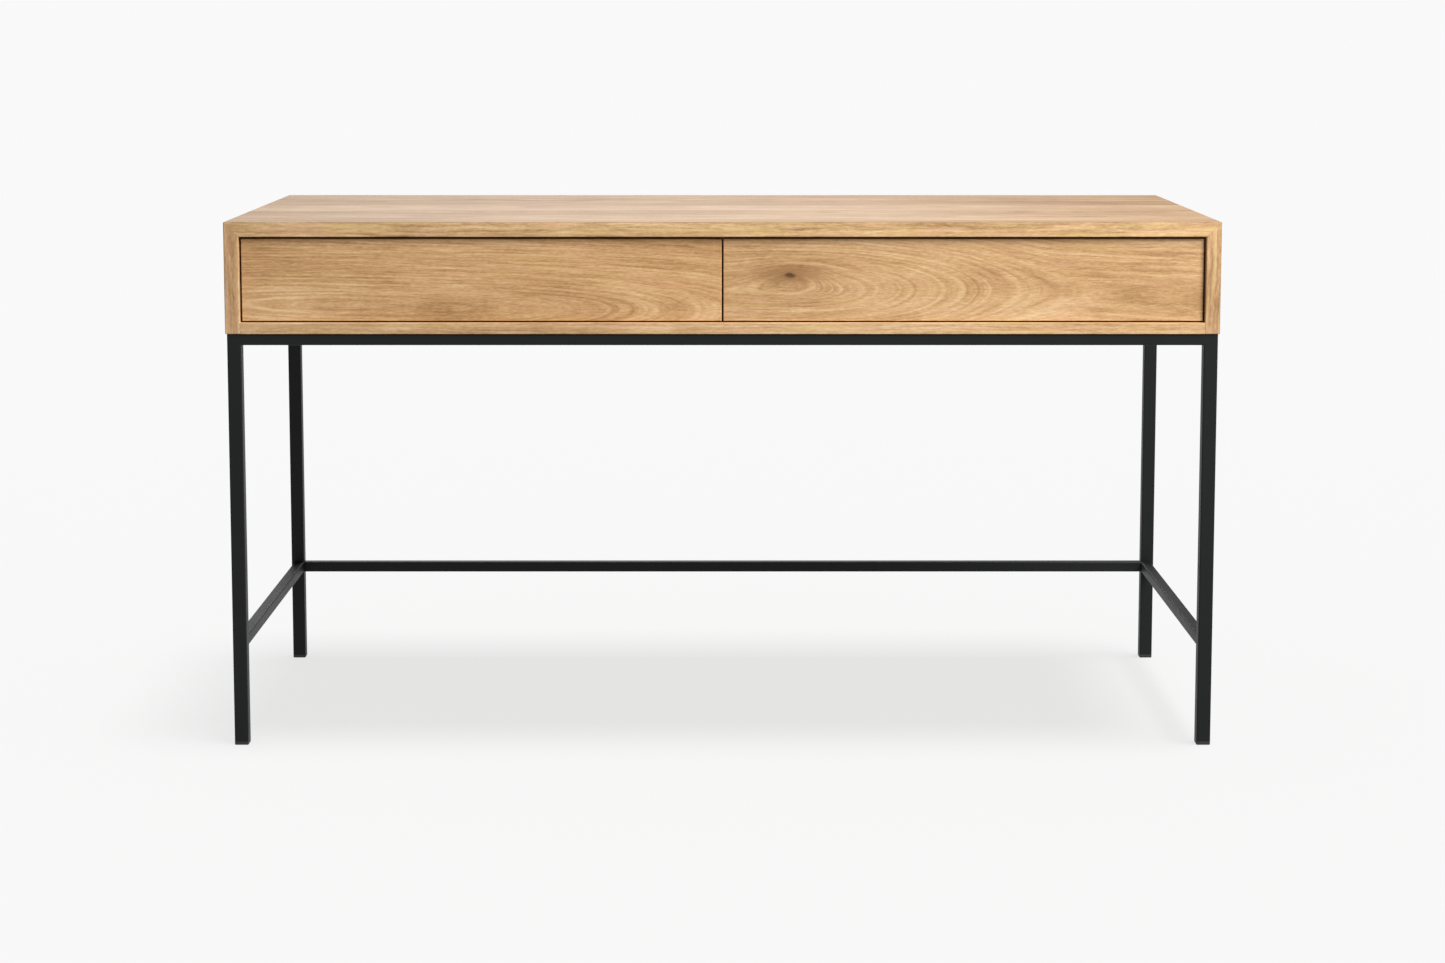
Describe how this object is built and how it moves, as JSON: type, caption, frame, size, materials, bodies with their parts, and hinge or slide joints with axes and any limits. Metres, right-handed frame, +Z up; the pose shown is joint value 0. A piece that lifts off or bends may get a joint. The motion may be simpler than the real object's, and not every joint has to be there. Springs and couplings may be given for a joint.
{
  "type": "writing desk with drawers",
  "caption": "Writing desk with a mitred wooden case, shallow handleless push-to-open drawers on ball-bearing runners, and a slim square-tube steel base with a low U-shaped stretcher.",
  "frame": {"origin": "middle of the footprint, on the floor", "axes": "+X to the right of the person seated, +Y to the back, +Z up; the drawers open along -Y"},
  "size_m": [1.4, 0.6, 0.75],
  "materials": {
    "oak": "natural oak veneer and lippings, matt oil",
    "drawer_box_birch": "birch plywood and solid birch, satin lacquer",
    "beech": "raw beech dowel",
    "black_steel": "fine-textured matt black powder coat",
    "runner_zinc": "rolled steel, bright zinc plated",
    "screw_zinc": "zinc plated",
    "screw_black": "black zinc",
    "latch_plastic": "moulded grey nylon",
    "glide_plastic": "moulded black polyethylene"
  },
  "bodies": {
    "desk": {"top_panel": "oak", "left_side_panel": "oak", "right_side_panel": "oak", "bottom_panel": "oak", "back_panel": "oak", "centre_divider": "oak", "carcass_dowels": "beech", "case_screws": "screw_zinc", "runner_1_case_member": "runner_zinc", "runner_2_case_member": "runner_zinc", "runner_3_case_member": "runner_zinc", "runner_4_case_member": "runner_zinc", "left_latch_housing": "latch_plastic", "right_latch_housing": "latch_plastic", "front_left_leg": "black_steel", "front_right_leg": "black_steel", "back_left_leg": "black_steel", "back_right_leg": "black_steel", "front_left_glide": "glide_plastic", "front_right_glide": "glide_plastic", "back_left_glide": "glide_plastic", "back_right_glide": "glide_plastic", "front_rail": "black_steel", "back_rail": "black_steel", "left_rail": "black_steel", "right_rail": "black_steel", "left_stretcher": "black_steel", "right_stretcher": "black_steel", "back_stretcher": "black_steel", "base_brackets": "black_steel", "base_screws": "screw_black"},
    "left_drawer": {"left_drawer_front": "oak", "left_drawer_box_front": "drawer_box_birch", "left_drawer_box_left": "drawer_box_birch", "left_drawer_box_right": "drawer_box_birch", "left_drawer_box_back": "drawer_box_birch", "left_drawer_box_bottom": "drawer_box_birch", "left_drawer_front_screws": "screw_zinc", "left_drawer_runner_screws": "screw_zinc", "left_drawer_striker": "runner_zinc", "runner_1_drawer_member": "runner_zinc", "runner_2_drawer_member": "runner_zinc"},
    "right_drawer": {"right_drawer_front": "oak", "right_drawer_box_front": "drawer_box_birch", "right_drawer_box_left": "drawer_box_birch", "right_drawer_box_right": "drawer_box_birch", "right_drawer_box_back": "drawer_box_birch", "right_drawer_box_bottom": "drawer_box_birch", "right_drawer_front_screws": "screw_zinc", "right_drawer_runner_screws": "screw_zinc", "right_drawer_striker": "runner_zinc", "runner_3_drawer_member": "runner_zinc", "runner_4_drawer_member": "runner_zinc"},
    "runner_1_middle": {"runner_1_middle_member": "runner_zinc"},
    "runner_2_middle": {"runner_2_middle_member": "runner_zinc"},
    "runner_3_middle": {"runner_3_middle_member": "runner_zinc"},
    "runner_4_middle": {"runner_4_middle_member": "runner_zinc"},
    "left_plunger": {"left_latch_plunger": "latch_plastic"},
    "right_plunger": {"right_latch_plunger": "latch_plastic"}
  },
  "joints": [
    {"name": "left_drawer_slide", "type": "slide", "parent": "desk", "child": "left_drawer", "axis": [0, -1, 0], "range_m": [-0.0025, 0.45]},
    {"name": "right_drawer_slide", "type": "slide", "parent": "desk", "child": "right_drawer", "axis": [0, -1, 0], "range_m": [-0.0025, 0.45]},
    {"name": "runner_1_extend", "type": "slide", "parent": "desk", "child": "runner_1_middle", "axis": [0, -1, 0], "range_m": [-0.00125, 0.225]},
    {"name": "runner_2_extend", "type": "slide", "parent": "desk", "child": "runner_2_middle", "axis": [0, -1, 0], "range_m": [-0.00125, 0.225]},
    {"name": "runner_3_extend", "type": "slide", "parent": "desk", "child": "runner_3_middle", "axis": [0, -1, 0], "range_m": [-0.00125, 0.225]},
    {"name": "runner_4_extend", "type": "slide", "parent": "desk", "child": "runner_4_middle", "axis": [0, -1, 0], "range_m": [-0.00125, 0.225]},
    {"name": "left_latch_push", "type": "slide", "parent": "desk", "child": "left_plunger", "axis": [0, -1, 0], "range_m": [-0.0002, 0.035]},
    {"name": "right_latch_push", "type": "slide", "parent": "desk", "child": "right_plunger", "axis": [0, -1, 0], "range_m": [-0.0002, 0.035]}
  ],
  "couplings": [
    {"joint": "runner_1_extend", "follows": "left_drawer_slide", "ratio": 0.5},
    {"joint": "runner_2_extend", "follows": "left_drawer_slide", "ratio": 0.5},
    {"joint": "runner_3_extend", "follows": "right_drawer_slide", "ratio": 0.5},
    {"joint": "runner_4_extend", "follows": "right_drawer_slide", "ratio": 0.5},
    {"joint": "left_latch_push", "follows": "left_drawer_slide", "ratio": 0.0775},
    {"joint": "right_latch_push", "follows": "right_drawer_slide", "ratio": 0.0775}
  ]
}
